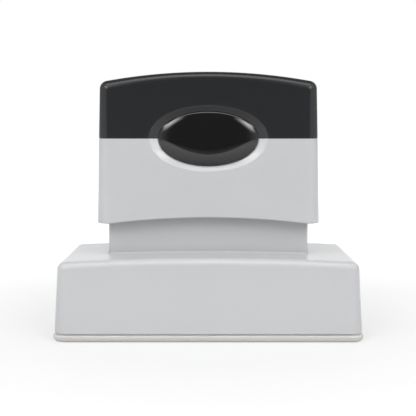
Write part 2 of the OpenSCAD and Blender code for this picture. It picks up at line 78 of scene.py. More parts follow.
def linear(code: str) -> tuple[float, float, float, float]:
    """Turns an sRGB hex colour to linear light.

    Args:
        code: six hex digits.

    Returns:
        Red, green, blue and a full alpha.
    """
    parts = [int(code[i:i + 2], 16) / 255 for i in (0, 2, 4)]
    r, g, b = (c / 12.92 if c <= 0.04045 else ((c + 0.055) / 1.055) ** 2.4 for c in parts)
    return r, g, b, 1.0


def slope(draft: float) -> float:
    """Gives how far a draft in degrees draws a wall in for each millimetre of height."""
    return math.tan(math.radians(draft))


def arc(radius: float, steps: int) -> list[Pair]:
    """Gives the inset and lift of points on a rounded edge, from its foot to its wall."""
    turns = [math.pi / 2 * i / steps for i in range(steps + 1)]
    return [(radius * (1 - math.sin(t)), radius * (1 - math.cos(t))) for t in turns]


def circle(count: int) -> list[float]:
    """Gives the angles of points that are spaced evenly round a circle."""
    return [2 * math.pi * i / count for i in range(count)]


def add(tree: NodeTree, kind: str, settings: dict | None = None, links: dict | None = None) -> Node:
    """Adds a node with its settings and links.

    Args:
        tree: the tree that takes the node.
        kind: the node's type.
        settings: values by property name, input name or input number.
        links: sockets that feed it, by input name or number.

    Returns:
        The new node.
    """
    made = tree.nodes.new(kind)
    for key, value in (settings or {}).items():
        if isinstance(key, str) and hasattr(made, key):
            setattr(made, key, value)
        else:
            made.inputs[key].default_value = value
    for key, socket in (links or {}).items():
        tree.links.new(socket, made.inputs[key])
    return made


def bare_tree(owner: ID) -> NodeTree:
    """Gives a material, a lamp or a world an empty tree.

    Args:
        owner: what the tree belongs to.

    Returns:
        The tree.
    """
    owner.use_nodes = True
    owner.node_tree.nodes.clear()
    return owner.node_tree


def put(name: str, data: ID) -> Object:
    """Puts a mesh, a lamp or a camera in the scene.

    Args:
        name: the object's name.
        data: what it shows.

    Returns:
        The new object.
    """
    made = bpy.data.objects.new(name, data)
    bpy.context.scene.collection.objects.link(made)
    return made


class Grain(Enum):
    """How a surface was made, which sets the pattern of its relief."""

    MOULDED = "moulded"
    FELTED = "felted"
    FOAMED = "foamed"
    DRAWN = "drawn"


# Most of a noise lies between these values
NOISE_SPAN = (0.25, 0.75)
# Octaves of the noise in the colour, in felt's fibres and in other surfaces
MOTTLE_DETAIL = 3.0
FIBRE_DETAIL = 6.0
PLAIN_DETAIL = 2.0
# A coil's wire runs level, so lines along it are fine in Z
WIRE_LINES = (1.0, 1.0, 9.0)


@dataclass(frozen=True)
class Finish:
    """A real material and its surface.

    Lengths are in millimetres. The colour wanders between two shades over the mottle's size, and the relief
    follows the grain.
    """

    name: str
    pale: str
    deep: str
    rough: Pair
    grain: Grain = Grain.MOULDED
    grain_size: float = 0.6
    relief: float = 0.0006
    mottle: float = 18.0
    ior: float = 1.54
    specular: float = 0.5
    metallic: float = 0.0
    coat: float = 0.0
    coat_rough: float = 0.04
    sheen: float = 0.0

    def material(self) -> Material:
        """Makes the material once, and finds it again later."""
        return bpy.data.materials.get(self.name) or self._make()

    def _make(self) -> Material:
        """Builds the material's nodes.

        Returns:
            The new material.
        """
        made = bpy.data.materials.new(self.name)
        tree = bare_tree(made)
        place = add(tree, "ShaderNodeTexCoord").outputs["Object"]
        drift = add(tree, "ShaderNodeTexNoise", {"Scale": 1 / (self.mottle * MM), "Detail": MOTTLE_DETAIL},
                    {"Vector": place}).outputs["Fac"]
        shade = add(tree, "ShaderNodeMix",
                    {"data_type": "RGBA", MIX_FROM: linear(self.deep), MIX_TO: linear(self.pale)},
                    {0: drift}).outputs[MIXED]
        height = self._height(tree, place)
        rough = add(tree, "ShaderNodeMapRange",
                    {"From Min": NOISE_SPAN[0], "From Max": NOISE_SPAN[1],
                     "To Min": self.rough[0], "To Max": self.rough[1]},
                    {"Value": height}).outputs["Result"]
        bump = add(tree, "ShaderNodeBump", {"Strength": 1.0, "Distance": self.relief * MM},
                   {"Height": height}).outputs["Normal"]
        shader = add(tree, "ShaderNodeBsdfPrincipled",
                     {"Metallic": self.metallic, "IOR": self.ior, "Specular IOR Level": self.specular,
                      "Coat Weight": self.coat, "Coat Roughness": self.coat_rough,
                      "Sheen Weight": self.sheen},
                     {"Base Color": shade, "Roughness": rough, "Normal": bump})
        add(tree, "ShaderNodeOutputMaterial", links={"Surface": shader.outputs["BSDF"]})
        return made

    def _height(self, tree: NodeTree, place: NodeSocket) -> NodeSocket:
        """Draws the relief.

        Args:
            tree: the material's tree.
            place: coordinates in metres.

        Returns:
            The height, from 0 to 1.
        """
        scale = 1 / (self.grain_size * MM)
        if self.grain is Grain.FOAMED:
            return add(tree, "ShaderNodeTexVoronoi", {"Scale": scale, "Randomness": 1.0},
                       {"Vector": place}).outputs["Distance"]
        if self.grain is Grain.DRAWN:
            place = add(tree, "ShaderNodeMapping", {"Scale": WIRE_LINES}, {"Vector": place}).outputs["Vector"]
        detail = FIBRE_DETAIL if self.grain is Grain.FELTED else PLAIN_DETAIL
        return add(tree, "ShaderNodeTexNoise", {"Scale": scale, "Detail": detail},
                   {"Vector": place}).outputs["Fac"]


# Injection-moulded ABS off a finely polished tool: an even pale grey, a satin gloss and a hint of flow
GREY_ABS = Finish("abs_moulded_light_grey", "C8C9CB", "C5C6C8", (0.18, 0.24), relief=0.0002)
# The same resin loaded with carbon black: it shows its gloss more than its colour
BLACK_ABS = Finish("abs_moulded_black", "242527", "212224", (0.22, 0.245), relief=0.0003, specular=0.42)
# The cover's ABS, off another tool and batch: a touch warmer and paler
COVER_ABS = Finish("abs_moulded_warm_grey", "D1CFCC", "CECCC9", (0.15, 0.2), relief=0.0002)
# Unpolished inner mouldings: duller, with the tool's grain left on
STEM_ABS = Finish("abs_moulded_mid_grey", "93969A", "8D9094", (0.42, 0.55), grain_size=0.5, relief=0.01)
DIE_ABS = Finish("abs_moulded_dark", "34363A", "2D2F33", (0.4, 0.55), grain_size=0.5, relief=0.01)
# Wool felt soaked in ink: dark, dull, with fibres drawn coarser than they are so that they show
INKED_FELT = Finish("wool_felt_inked", "3A3D45", "24262C", (0.75, 0.95), Grain.FELTED, grain_size=0.5,
                    relief=0.12, mottle=4.0, sheen=0.3)
# Microporous foam: a dull skin with fine pores, drawn coarser than they are so that they show
MICRO_FOAM = Finish("microporous_foam_inked", "626670", "545862", (0.65, 0.8), Grain.FOAMED, grain_size=0.45,
                    relief=0.05, mottle=9.0)
# Drawn spring steel: bright, with fine lines along the wire
SPRING_WIRE = Finish("spring_steel_drawn", "C4C5C8", "A9ABAF", (0.22, 0.36), Grain.DRAWN, grain_size=0.35,
                     relief=0.004, mottle=3.0, ior=1.5, metallic=1.0)
# Nitrile rubber, moulded: black and slightly dull
SEAL_RUBBER = Finish("nitrile_rubber_moulded", "202124", "19191C", (0.5, 0.62), grain_size=0.4, relief=0.006)
# Cast vinyl, printed black all over
LABEL_VINYL = Finish("vinyl_cast_black", "0E0E10", "0A0A0C", (0.4, 0.5), grain_size=0.4)
# Polyurethane resin, cast as a dome over the black label: a deep black with mirror-like highlights
DOMED_RESIN = Finish("polyurethane_resin_domed", "0D0D0F", "0A0A0B", (0.05, 0.075), grain_size=3.0,
                     relief=0.002, ior=1.5, specular=0.55, coat=0.3)


def dress(node: str, finish: Finish) -> None:
    """Gives its finish to a node whose shape is right as it is.

    Args:
        node: the node's name.
        finish: its surface.
    """
    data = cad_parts[node].data
    data.materials.clear()
    data.materials.append(finish.material())
    log.info("%s keeps its shape and gets %s", node, finish.name)


@dataclass(frozen=True)
class Plan:
    """A rounded rectangle seen from above, as a fixed number of points.

    The points start at the left end of the front and run anticlockwise.
    """

    width: float
    depth: float
    radius: float
    along: int = 48
    across: int = 16
    turn: int = 8

    def outline(self) -> tuple[np.ndarray, np.ndarray]:
        """Works out the points and their outward normals.

        Returns:
            Two arrays of x, y rows.
        """
        cx, cy = self.width / 2 - self.radius, self.depth / 2 - self.radius
        corners = np.array([(-cx, -cy), (cx, -cy), (cx, cy), (-cx, cy)])
        middles, angles = [], []
        for side in range(4):
            start, end = corners[side], corners[(side + 1) % 4]
            facing = math.radians(90 * side - 90)
            count = self.across if side % 2 else self.along
            for share in np.linspace(0, 1, count + 1):
                middles.append(start + (end - start) * share)
                angles.append(facing)
            for step in range(1, self.turn):
                middles.append(end)
                angles.append(facing + math.pi / 2 * step / self.turn)
        normals = np.column_stack([np.cos(angles), np.sin(angles)])
        return np.array(middles) + self.radius * normals, normals

    def level(self, z: float | np.ndarray, inset: float | np.ndarray = 0.0) -> np.ndarray:
        """Places the outline at a height.

        Args:
            z: the height, one for all or one for each point.
            inset: how far the outline is drawn in, likewise.

        Returns:
            Rows of x, y, z.
        """
        points, normals = self.outline()
        drawn = points - normals * np.reshape(np.broadcast_to(inset, len(points)), (-1, 1))
        return np.column_stack([drawn, np.broadcast_to(z, len(points))])

    def round_foot(self, z: float, radius: float, steps: int = 3) -> list[np.ndarray]:
        """Gives the rows of a rounded lower edge at z, lowest first."""
        return [self.level(z + lift, inset) for inset, lift in arc(radius, steps)]

    def round_top(self, z: float, radius: float, steps: int = 3) -> list[np.ndarray]:
        """Gives the rows of a rounded upper edge at z, lowest first."""
        return [self.level(z - lift, inset) for inset, lift in reversed(arc(radius, steps))]

    def open_top(self, z: float, edge: float = BREAK) -> list[np.ndarray]:
        """Gives the rows of a hole's broken upper edge at z, highest first."""
        return [self.level(z, -edge), self.level(z - edge)]

    def open_foot(self, z: float, edge: float = BREAK) -> list[np.ndarray]:
        """Gives the rows of a hole's broken lower edge at z, highest first."""
        return [self.level(z + edge), self.level(z, -edge)]


@dataclass(frozen=True)
class CrownedBlock:
    """A drafted block whose top is crowned across its width and rounded along its edges.

    The rounding's radius is edge along the front and back, and end over the ends. Ease makes it smaller at
    the corners, and swell makes it larger towards the ends of the front and back.
    """

    plan: Plan
    foot: float
    height: float
    draft: float
    crown: float
    edge: float
    end: float
    ease: float = 0.0
    swell: float = 0.0

    def top(self, x: np.ndarray | float) -> np.ndarray | float:
        """Gives the height of the crowned top at x."""
        return self.foot + self.height - self.crown + np.sqrt(self.crown ** 2 - np.square(x))

    def inset(self, z: np.ndarray | float) -> np.ndarray | float:
        """Gives how far the draft has drawn the wall in at a height."""
        return (z - self.foot) * slope(self.draft)

    def rounding(self, steps: int) -> list[np.ndarray]:
        """Works out the rounded edge, from the wall to the top.

        Args:
            steps: segments of the rounding.

        Returns:
            Rows of points, lowest first.
        """
        points, normals = self.plan.outline()
        lean = math.radians(self.draft)
        peak = np.full(len(points), self.foot + self.height)
        # The wall's inset and the top's height depend on each other, and a few rounds settle both
        for _ in range(4):
            peak = self.top(points[:, 0] - normals[:, 0] * self.inset(peak))
        sharp = points - normals * np.reshape(self.inset(peak), (-1, 1))
        tilt = np.arcsin(sharp[:, 0] / self.crown) * normals[:, 0]
        nx2 = normals[:, 0] ** 2
        fuller = 1 + self.swell * (2 * sharp[:, 0] / self.plan.width) ** 2
        radius = self.edge * fuller * (1 - nx2) + self.end * nx2
        radius = radius * (1 - self.ease * 4 * nx2 * (1 - nx2))
        half = (math.pi / 2 + lean + tilt) / 2
        down = np.column_stack([np.full(len(tilt), math.sin(lean)), np.full(len(tilt), -math.cos(lean))])
        inward = np.column_stack([-np.cos(tilt), np.sin(tilt)])
        middle = (down + inward) / np.linalg.norm(down + inward, axis=1, keepdims=True)
        middle = middle * np.reshape(radius / np.sin(half), (-1, 1))
        rows = []
        for share in np.linspace(0, 1, steps + 1):
            turn = lean + (math.pi / 2 - tilt - lean) * share
            out = middle[:, 0] + radius * np.cos(turn)
            lift = middle[:, 1] + radius * np.sin(turn)
            rows.append(np.column_stack([sharp + normals * out[:, None], peak + lift]))
        return rows


@dataclass(frozen=True)
class Box:
    """A box with rounded edges, from its lowest to its highest corner."""

    low: Point
    high: Point
    edge: float = BREAK


class Skin:
    """One mesh in the making, in millimetres."""

    def __init__(self) -> None:
        """Starts with nothing."""
        self.mesh = bmesh.new()

    def row(self, points: np.ndarray | Sequence[Sequence[float]]) -> Row:
        """Adds a row of vertices."""
        return [self.mesh.verts.new(p) for p in points]

    def face(self, corners: Row) -> None:
        """Adds one face."""
        self.mesh.faces.new(corners)

    def ends(self, rows: Sequence[Row]) -> None:
        """Closes the first and the last row with flat faces."""
        self.face(rows[0][::-1])
        self.face(rows[-1])

    def bridge(self, low: Row, high: Row, skip: int = 0, closed: bool = True) -> None:
        """Joins two rows with quads.

        Args:
            low: the first row.
            high: the second, with as many vertices.
            skip: how many of the first quads are left out.
            closed: whether the rows close on themselves.
        """
        count = len(low)
        for i in range(skip, count if closed else count - 1):
            j = (i + 1) % count
            self.face([low[i], low[j], high[j], high[i]])

    def stitch(self, low: Row, high: Row) -> None:
        """Joins two open rows of unlike lengths with triangles, in step from left to right.

        Args:
            low: the first row.
            high: the second row.
        """
        i = j = 0
        while i < len(low) - 1 or j < len(high) - 1:
            if j == len(high) - 1 or (i < len(low) - 1 and low[i + 1].co.x <= high[j + 1].co.x):
                self.face([low[i], low[i + 1], high[j]])
                i += 1
            else:
                self.face([low[i], high[j + 1], high[j]])
                j += 1

    def loft(self, levels: Sequence[np.ndarray | Sequence[Point]], endless: bool = False) -> list[Row]:
        """Joins rows of points in turn.

        Args:
            levels: the rows, each with as many points.
            endless: whether the last joins the first again.

        Returns:
            The rows' vertices.
        """
        rows = [self.row(level) for level in levels]
        for low, high in pairwise(rows + rows[:1] if endless else rows):
            self.bridge(low, high)
        return rows

    def lid(self, row: Row, plan: Plan, top: Callable[[float], float] | None = None) -> None:
        """Closes a row that has a plan's layout with a grid of quads.

        Args:
            row: the row to close.
            plan: the plan that it follows.
            top: the height at x, or none for a flat lid.
        """
        n, m, count = plan.along, plan.across + 2 * plan.turn, len(row)
        front = row[:n + 1]
        right = row[n:n + m + 1]
        back = row[n + m:2 * n + m + 1][::-1]
        left = [row[i % count] for i in range(2 * n + m, count + 1)][::-1]
        grid = [front]
        for j in range(1, m):
            v = j / m
            line = [left[j]]
            for i in range(1, n):
                u = i / n
                corners = front[0].co.lerp(front[n].co, u).lerp(back[0].co.lerp(back[n].co, u), v)
                p = front[i].co.lerp(back[i].co, v) + left[j].co.lerp(right[j].co, u) - corners
                if top:
                    p.z = top(p.x)
                line.append(self.mesh.verts.new(p))
            grid.append(line + [right[j]])
        grid.append(back)
        for low, high in pairwise(grid):
            self.bridge(low, high, closed=False)

    def solid(self, levels: Sequence[np.ndarray], low: Plan, high: Plan) -> None:
        """Joins rows of points in turn and closes both ends with lids.

        Args:
            levels: the rows.
            low: the plan that the first row follows.
            high: the plan that the last row follows.
        """
        rows = self.loft(levels)
        self.lid(rows[0], low)
        self.lid(rows[-1], high)

    def copies(self, box: Box, *axes: int) -> None:
        """Adds a box and its mirror images at the other side of the middle.

        Args:
            box: the box.
            axes: the axes along which it is mirrored.
        """
        for signs in product((-1, 1), repeat=len(axes)):
            low, high = list(box.low), list(box.high)
            for axis, sign in zip(axes, signs):
                low[axis], high[axis] = sorted((sign * low[axis], sign * high[axis]))
            size = [h - l for l, h in zip(low, high)]
            middle = [(h + l) / 2 for l, h in zip(low, high)]
            place = Matrix.Translation(middle) @ Matrix.Diagonal((*size, 1.0))
            made = bmesh.ops.create_cube(self.mesh, size=1.0, matrix=place)["verts"]
            edges = list(dict.fromkeys(e for v in made for e in v.link_edges))
            bmesh.ops.bevel(self.mesh, geom=edges, offset=box.edge, segments=2, profile=0.5, affect="EDGES")

    def turned(self, profile: Sequence[Pair], x: float, steps: int = 32, endless: bool = False) -> None:
        """Turns a profile about an upright axis in the middle plane.

        Args:
            profile: radius and height of each point.
            x: the axis's place.
            steps: points round the axis.
            endless: whether the profile closes on itself, otherwise flat ends close it.
        """
        angles = circle(steps)
        rows = self.loft([[(x + r * math.cos(a), r * math.sin(a), z) for a in angles] for r, z in profile],
                         endless)
        if not endless:
            self.ends(rows)

    def piece(self, name: str, body: str, finish: Finish, slot: str, node: str) -> Object:
        """Finishes the mesh as a piece of the stamp.

        Args:
            name: the piece's name.
            body: the body that it rides on.
            finish: its surface.
            slot: the name of a material slot, which is not used.
            node: the node that it stands for.

        Returns:
            The new object.
        """
        bmesh.ops.recalc_face_normals(self.mesh, faces=self.mesh.faces)
        bmesh.ops.scale(self.mesh, vec=(MM, MM, MM), verts=self.mesh.verts)
        data = bpy.data.meshes.new(name)
        self.mesh.to_mesh(data)
        self.mesh.free()
        data.shade_smooth()
        data.set_sharp_from_angle(angle=SHARP)
        made = put(name, data)
        data.materials.append(finish.material())
        even = made.modifiers.new("even_shading", "WEIGHTED_NORMAL")
        even.keep_sharp = True
        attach(made, body)
        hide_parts(node)
        log.info("%s rides on %s with %d faces", name, body, len(data.polygons))
        return made


@dataclass
class BadgeSeat:
    """The oval badge's place on the handle's front face, across the seam.

    A dish grows from the badge's edge into the face. A share of its depth falls straight and the rest is
    eased, so it ends a little past its own outline. The edges along the seam are bevelled.
    """

    face: float = 11.343
    half_w: float = 15.8
    half_h: float = 8.5
    grow: float = 1.2
    past: float = 1.06
    deep: float = 1.0
    straight: float = 0.55
    bevel: float = 0.25
    set_back: float = 0.2
    face_rows: tuple[float, ...] = (0.12, 0.3, 0.55, 0.78)
    plate_edge: float = 0.12
    plate_points: int = 96

    def point(self, u: float, v: float, out: float) -> Point:
        """Places a point that lies across, up and out from the badge's middle."""
        lean = math.radians(HANDLE_DRAFT)
        return (u, -self.face + v * math.sin(lean) - out * math.cos(lean),
                SEAM + v * math.cos(lean) + out * math.sin(lean))

    def oval(self, angle: float, share: float, out: float, lift: float = 0.0) -> Point:
        """Places a point on an oval that has a share of the badge's size."""
        return self.point(self.half_w * share * math.cos(angle),
                          lift + self.half_h * share * math.sin(angle), out)

    def dish(self, steps: int = 10) -> list[Pair]:
        """Gives the dished surround's profile, from the badge's edge outwards.

        Args:
            steps: segments of the profile.

        Returns:
            Pairs of a share of the badge's size, and a depth.
        """
        found = []
        for i in range(steps + 1):
            t = i / steps
            eased = 1 - t * t * (3 - 2 * t)
            fall = self.straight * (1 - t) + (1 - self.straight) * eased
            found.append((1 + (self.grow - 1) * t * self.past, self.deep * fall))
        return found

    def surround(self, skin: Skin, border: Row, side: int, floor: float) -> Row:
        """Fills a face round half of the badge, with ovals that grow into the face's border.

        Args:
            skin: the mesh that takes the faces.
            border: the face's border, from the left end at the seam round to the right end.
            side: 1 over the seam, -1 under it.
            floor: depth of the badge's seat.

        Returns:
            The vertices along the seam, left to right.
        """
        lift = side * self.bevel
        angles, reach = [], []
        for v in border:
            x, y = v.co.x / self.half_w, (v.co.z - SEAM - lift) / self.half_h
            angles.append(math.atan2(y, x))
            reach.append(math.hypot(x, y))
        angles[0], angles[-1] = side * math.pi, 0.0
        dish = self.dish()
        ring = dish[-1][0]
        levels = ([(1.0, floor)] if floor > self.deep else []) + dish
        rows = [skin.row([self.oval(a, share, -depth, lift) for a in angles]) for share, depth in levels]
        for t in self.face_rows:
            shares = [ring + (r - ring) * t for r in reach]
            rows.append(skin.row([self.oval(a, share, 0.0, lift) for a, share in zip(angles, shares)]))
        rows.append(border)
        for low, high in pairwise(rows):
            skin.bridge(low, high, closed=False)
        skin.face(rows[0])
        return [r[0] for r in rows[::-1]] + [r[-1] for r in rows]

    def seam_edge(self, skin: Skin, path: Row, level: np.ndarray, along: int) -> tuple[Row, Row]:
        """Bevels the front's edge along the seam, and adds the row behind it at the seam's height.

        Args:
            skin: the mesh that takes the faces.
            path: the front's vertices along the seam, left to right.
            level: points of the whole outline at the seam.
            along: how many steps the outline's front has.

        Returns:
            The front's vertices at the seam, and the outline's row with only the ends of its front.
        """
        front = skin.row([(v.co.x, v.co.y + self.set_back, SEAM) for v in path])
        skin.bridge(path, front, closed=False)
        return front, front[:1] + [None] * (along - 1) + front[-1:] + skin.row(level[along + 1:])

    def plate(self, skin: Skin, margin: float, low: float, high: float, cut: float | None = None) -> None:
        """Adds an oval plate.

        Args:
            skin: the mesh that takes it.
            margin: how far it reaches past the badge.
            low: depth of its back, as a height.
            high: height of its front.
            cut: height over the seam at which it is cut off, if it is.
        """
        count, tall = self.plate_points, self.half_h + margin
        turns = circle(count)
        if cut is not None:
            skip = math.asin(-cut / tall)
            turns = [math.pi + skip + (math.pi - 2 * skip) * i / count for i in range(count + 1)]
        ovals = [((self.half_w + margin) * math.cos(a), tall * math.sin(a)) for a in turns]
        edge = min(self.plate_edge, (high - low) / 3)
        levels = []
        for out, drawn in ((low, edge), (low + edge, 0.0), (high - edge, 0.0), (high, edge)):
            squeeze = 1 - drawn / tall
            levels.append([self.point(u * squeeze, v * squeeze, out) for u, v in ovals])
        skin.ends(skin.loft(levels))


@dataclass
class Base:
    """The skirted base with its fixed neck and the two return springs.

    The boxes stand at the right or the back, and are mirrored to the other sides. Rows are the shares of a
    surface at which its mesh has points.
    """

    block: CrownedBlock = CrownedBlock(Plan(95.2, 49.4, 3.75), foot=2.5, height=23.2, draft=3.0, crown=900.0,
                                       edge=2.6, end=2.6, ease=0.08)
    foot_soft: float = 0.35
    wall_rows: Pair = (0.33, 0.66)
    roof_rows: tuple[float, ...] = (0.2, 0.45, 0.7, 0.88, 1.0)
    ceiling: float = 23.1
    fillet: float = 0.4
    mouth: Plan = Plan(91.6, 45.8, 1.7)
    mouth_lift: float = 8.0
    mouth_break: float = 0.25
    mouth_inset: float = 0.01
    hole: Plan = Plan(64.3, 15.3, 1.15)
    # Width and height of the lip round the hole
    lip: Pair = (0.27, 0.4)
    lip_rows: tuple[float, ...] = (0.05, 0.5, 0.95)
    lip_edge: float = 0.05
    snap: Box = Box((35.15, -3.0, 20.4), (36.65, 3.0, 23.6))
    hook: Box = Box((34.15, -3.0, 20.4), (36.0, 3.0, 21.4))
    rib: Box = Box((28.02, 20.12, 7.0), (29.42, 22.6, 23.6))
    neck: Plan = Plan(64.0, 15.0, 1.0)
    neck_top: float = 54.2
    neck_mid: float = 35.1
    neck_soft: float = 0.4
    bore: Plan = Plan(61.0, 12.0, 0.4)
    flange: Plan = Plan(70.0, 21.0, 2.5)
    flange_foot: float = 21.5
    flange_soft: float = 0.3
    shelf: Box = Box((17.8, -6.7, 26.2), (31.2, 6.7, 28.2), 0.15)
    peg_r: float = 3.0
    peg_h: float = 4.0
    peg_root: float = 1.0
    # How much narrower the peg is, and how far under its top
    peg_tip: tuple[Pair, ...] = ((0.0, 0.6), (0.2, 0.2), (0.6, 0.0))
    spring_x: float = 25.4
    spring_r: float = 3.85
    spring_top: float = 58.7
    spring_play: float = 0.05
    coils: int = 9
    coil_points: int = 28
    end_pitch: float = 1.4
    wire: float = 0.9
    wire_sides: int = 12
    travel: float = 5.5

    @property
    def spring_foot(self) -> float:
        """Gives the height of the shelves, which the springs stand on."""
        return self.shelf.high[2]

    def roof(self, outer: np.ndarray) -> list[np.ndarray]:
        """Works out the roof, the lip round the neck's hole, and the hole.

        Args:
            outer: the last row of the rounding round the roof.

        Returns:
            Rows of points, from the outside in and down to the ceiling.
        """
        wide, tall = self.lip
        inner = self.hole.level(0.0, -wide - 2 * self.lip_edge)
        rows = []
        for t in self.roof_rows:
            ring = outer + (inner - outer) * t
            ring[:, 2] = self.block.top(ring[:, 0])
            rows.append(ring)
        crest = self.block.top(self.hole.level(0.0)[:, 0])
        rows += [self.hole.level(crest + tall * t, -wide * (1 - t) - self.lip_edge) for t in self.lip_rows]
        rows += [self.hole.level(crest + tall), self.hole.level(crest + tall - 2 * self.lip_edge)]
        return rows + [self.hole.level(self.ceiling)]

    def skirt(self) -> None:
        """Builds the skirt as one endless loft, from the foot over the roof and back inside."""
        skin = Skin()
        foot, draw = self.block.foot, slope(self.block.draft)
        rows = self.block.plan.round_foot(foot, self.foot_soft)
        rounding = self.block.rounding(steps=10)
        low = rows[-1]
        rows += [low + (rounding[0] - low) * t for t in self.wall_rows] + rounding + self.roof(rounding[-1])
        taper = (self.ceiling - foot) * draw
        rows += [self.mouth.level(self.ceiling, taper + self.fillet),
                 self.mouth.level(self.ceiling - self.fillet, taper),
                 self.mouth.level(foot + self.mouth_lift, self.mouth_lift * draw),
                 self.mouth.level(foot + self.mouth_break, self.mouth_inset),
                 self.mouth.level(foot, -self.mouth_break)]
        skin.loft(rows, endless=True)
        skin.copies(self.snap, X)
        skin.copies(self.hook, X)
        skin.copies(self.rib, X, Y)
        skin.piece("moulded_skirt", "base", GREY_ABS, "grey_abs", "skirt_shell")

    def neck_tube(self) -> None:
        """Builds the neck with its flange, its shelves and the pegs under the springs."""
        skin = Skin()
        rows = [self.neck.level(self.ceiling), self.neck.level(self.neck_mid)]
        rows += self.neck.round_top(self.neck_top, self.neck_soft)
        rows += self.bore.open_top(self.neck_top) + self.bore.open_foot(self.flange_foot)
        rows += self.flange.round_foot(self.flange_foot, self.flange_soft, steps=2)
        rows.append(self.flange.level(self.ceiling))
        skin.loft(rows, endless=True)
        skin.copies(self.shelf, X)
        top = self.spring_foot + self.peg_h
        peg = [(self.peg_r, self.spring_foot - self.peg_root)]
        peg += [(self.peg_r - less, top - under) for less, under in self.peg_tip]
        for side, _ in SIDES:
            skin.turned(peg, side * self.spring_x)
        skin.piece("moulded_neck", "base", GREY_ABS, "grey_abs", "neck_sleeve")

    def coil_height(self, turn: float) -> float:
        """Gives how far the wire has risen along the spring.

        Args:
            turn: turns from the foot.

        Returns:
            The rise, with the first and the last turn wound close.
        """
        rise = self.spring_top - self.spring_foot - self.wire - 2 * self.spring_play
        pitch = (rise - 2 * self.end_pitch) / (self.coils - 2)
        if turn < 1:
            return self.end_pitch * turn
        if turn > self.coils - 1:
            return rise - self.end_pitch * (self.coils - turn)
        return self.end_pitch + pitch * (turn - 1)

    def spring(self, side: int, hand: str) -> None:
        """Winds one return spring, which shortens as the handle goes down.

        Args:
            side: -1 on the left, 1 on the right.
            hand: the side's name.
        """
        skin, half, rings = Skin(), self.wire / 2, []
        for i in range(self.coils * self.coil_points + 1):
            turn = i / self.coil_points
            a = 2 * math.pi * turn
            z = self.spring_foot + self.spring_play + half + self.coil_height(turn)
            section = [(self.spring_r + half * math.cos(b), z + half * math.sin(b))
                       for b in circle(self.wire_sides)]
            rings.append([(side * self.spring_x + r * math.cos(a), r * math.sin(a), h) for r, h in section])
        skin.ends(skin.loft(rings))
        made = skin.piece(f"coil_{hand}", "base", SPRING_WIRE, "spring_wire", f"return_spring_{hand}")
        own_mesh(made)

    def build(self) -> None:
        """Builds the base."""
        self.skirt()
        self.neck_tube()
        for side, hand in SIDES:
            self.spring(side, hand)


